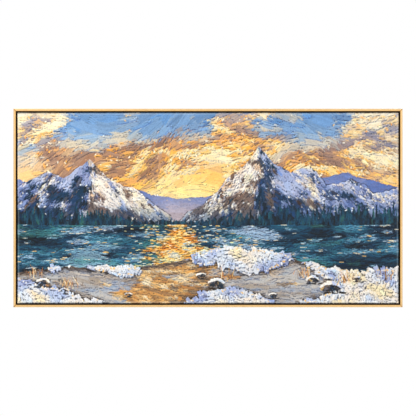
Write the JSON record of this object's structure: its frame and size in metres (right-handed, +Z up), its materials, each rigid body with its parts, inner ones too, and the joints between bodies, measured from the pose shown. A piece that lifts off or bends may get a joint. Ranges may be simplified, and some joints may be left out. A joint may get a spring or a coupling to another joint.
{
  "type": "framed oil painting",
  "caption": "Wide framed oil painting: thick knife-laid paint on stretched canvas, set in a slim gilt floater frame with a dark shadow gap; hangs on a wall.",
  "frame": {"origin": "the middle of the top rail's back face, on the wall", "axes": "+Z up, +Y into the wall, so the picture faces -Y; +X to the right as the picture is looked at"},
  "size_m": [1.225, 0.042, 0.6249],
  "materials": {
    "gilt_wood": "satin pale-gold lacquer outside, matt black in the shadow gap",
    "pine": "planed, unfinished",
    "primed_cotton": "plain-woven cotton canvas, raw behind",
    "oil_paint": "oil paint laid thickly with a palette knife, satin",
    "zinc_steel": "zinc-plated"
  },
  "bodies": {
    "root": {"canvas": "primed_cotton", "frame_rail_bottom": "gilt_wood", "frame_rail_left": "gilt_wood", "frame_rail_right": "gilt_wood", "frame_rail_top": "gilt_wood", "frame_screw_bottom_1": "zinc_steel", "frame_screw_bottom_2": "zinc_steel", "frame_screw_bottom_3": "zinc_steel", "frame_screw_bottom_4": "zinc_steel", "frame_screw_left_1": "zinc_steel", "frame_screw_left_2": "zinc_steel", "frame_screw_right_1": "zinc_steel", "frame_screw_right_2": "zinc_steel", "frame_screw_top_1": "zinc_steel", "frame_screw_top_2": "zinc_steel", "frame_screw_top_3": "zinc_steel", "frame_screw_top_4": "zinc_steel", "hanger_left": "zinc_steel", "hanger_nail_left_1": "zinc_steel", "hanger_nail_left_2": "zinc_steel", "hanger_nail_right_1": "zinc_steel", "hanger_nail_right_2": "zinc_steel", "hanger_right": "zinc_steel", "paint_layer": "oil_paint", "stretcher_bar_bottom": "pine", "stretcher_bar_left": "pine", "stretcher_bar_right": "pine", "stretcher_bar_top": "pine", "stretcher_cross_bar": "pine"}
  },
  "joints": []
}
